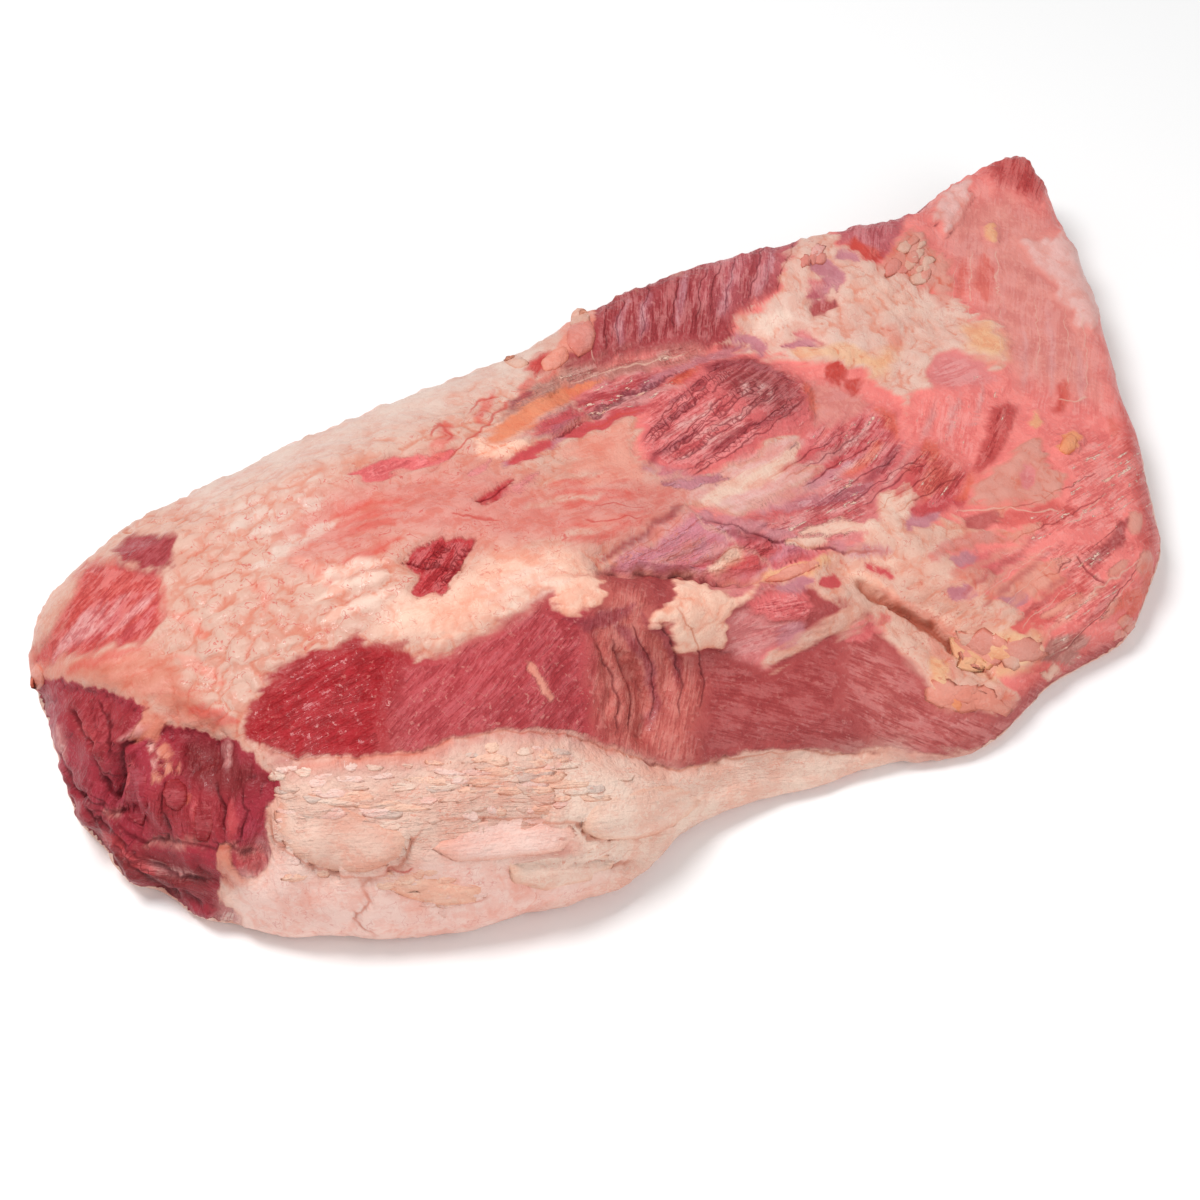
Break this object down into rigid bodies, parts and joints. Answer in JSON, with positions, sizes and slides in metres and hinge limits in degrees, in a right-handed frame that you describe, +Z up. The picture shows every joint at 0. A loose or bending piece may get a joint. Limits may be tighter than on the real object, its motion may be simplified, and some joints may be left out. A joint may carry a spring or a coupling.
{
  "type": "raw beef brisket",
  "caption": "Whole untrimmed slab of raw beef: a thick end with a rough cut face, thinning to a broad flat end, lean side up over a fat cap.",
  "frame": {"origin": "under the middle of the piece's box, on the surface that it lies on", "axes": "+Z up, +X along the piece from the thick point end to the thin flat end, +Y towards its back side"},
  "size_m": [0.5122, 0.285, 0.0938],
  "materials": {
    "raw_beef": "moist raw meat, red lean with cream fat"
  },
  "bodies": {
    "root": {"brisket": "raw_beef"}
  },
  "joints": []
}
